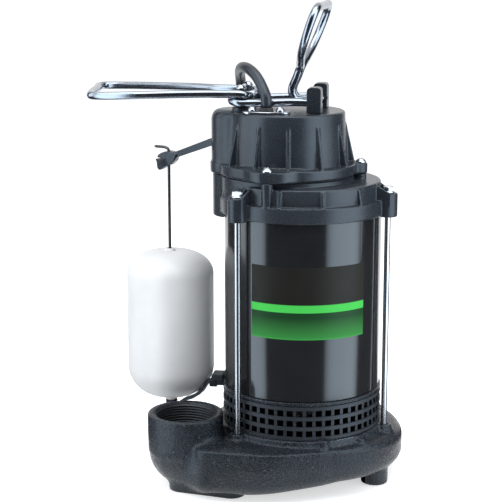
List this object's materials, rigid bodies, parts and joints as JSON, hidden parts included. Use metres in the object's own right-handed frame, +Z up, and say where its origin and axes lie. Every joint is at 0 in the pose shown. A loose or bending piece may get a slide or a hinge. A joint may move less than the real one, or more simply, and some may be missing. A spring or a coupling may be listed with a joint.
{
  "type": "submersible sump pump",
  "caption": "Upright submersible sump pump with a cast volute base, tie-rod motor can, float-rod switch and folded wire handle.",
  "frame": {"origin": "on the floor, under the middle of the pump's outline, its cord, coil and plug left out", "axes": "+Z up along the motor, -Y towards the label side, the float, discharge and side grip towards -X"},
  "size_m": [0.2558, 0.2997, 0.3876],
  "materials": {
    "black_casting": "satin black enamel over a cast skin",
    "black_enamel": "gloss black",
    "black_plastic": "matt black moulding",
    "bright_wire": "bright plated steel",
    "bright_steel": "bright zinc",
    "bronze": "sintered bronze",
    "copper": "enamelled copper wire",
    "black_rubber": "matt black rubber",
    "white_float": "white moulding"
  },
  "bodies": {
    "casing": {"volute_casting": "black_casting", "suction_plate": "black_casting", "strainer": "black_plastic", "lower_motor_plate": "black_casting", "motor_can": "black_enamel", "stator_core": "bright_steel", "winding_upper": "copper", "winding_lower": "copper", "lower_bush": "bronze", "upper_bush": "bronze", "can_seal": "black_rubber", "shaft_seal_seat": "bronze", "motor_cap": "black_plastic", "tie_rod_1": "bright_steel", "tie_rod_2": "bright_steel", "tie_rod_3": "bright_steel", "switch_cover": "black_plastic", "cover_gasket": "black_rubber", "cover_screw_1": "bright_steel", "cover_screw_2": "bright_steel", "cover_screw_3": "bright_steel", "cover_screw_4": "bright_steel", "handle_wire": "bright_wire", "handle_clip_front": "black_plastic", "handle_clip_rear": "black_plastic", "handle_screw_front": "bright_steel", "handle_screw_rear": "bright_steel", "cord_plate": "bright_steel", "cord_plate_screw_1": "bright_steel", "cord_plate_screw_2": "bright_steel", "cord_gland": "black_rubber", "mains_cord": "black_rubber", "cord_coil": "black_rubber", "cord_plug": "black_rubber", "lever_pin": "bright_steel", "micro_switch": "black_plastic", "float_guide": "black_plastic"},
    "rotor": {"rotor_shaft": "bright_steel", "rotor_core": "bright_steel", "impeller": "black_casting", "shaft_seal_head": "black_rubber"},
    "lever": {"switch_lever": "black_plastic"},
    "rod": {"float_rod": "bright_steel", "rod_stop": "black_rubber"},
    "float": {"float": "white_float"}
  },
  "joints": [
    {"name": "shaft_spin", "type": "hinge", "parent": "casing", "child": "rotor", "pos_m": [0.04391, -0.0015, 0.1], "axis": [0, 0, 1], "continuous": true},
    {"name": "lever_tilt", "type": "hinge", "parent": "casing", "child": "lever", "pos_m": [-0.0201, 0.00858, 0.2791], "axis": [0.4163, 0.9092, 0], "range_deg": [0, 22]},
    {"name": "rod_hang", "type": "hinge", "parent": "lever", "child": "rod", "pos_m": [-0.06556, 0.02939, 0.2601], "axis": [0.4163, 0.9092, 0], "range_deg": [-22, 0]},
    {"name": "float_slide", "type": "slide", "parent": "rod", "child": "float", "axis": [0, 0, 1], "range_m": [0, 0.06]}
  ],
  "couplings": [
    {"joint": "rod_hang", "follows": "lever_tilt", "ratio": -1}
  ]
}
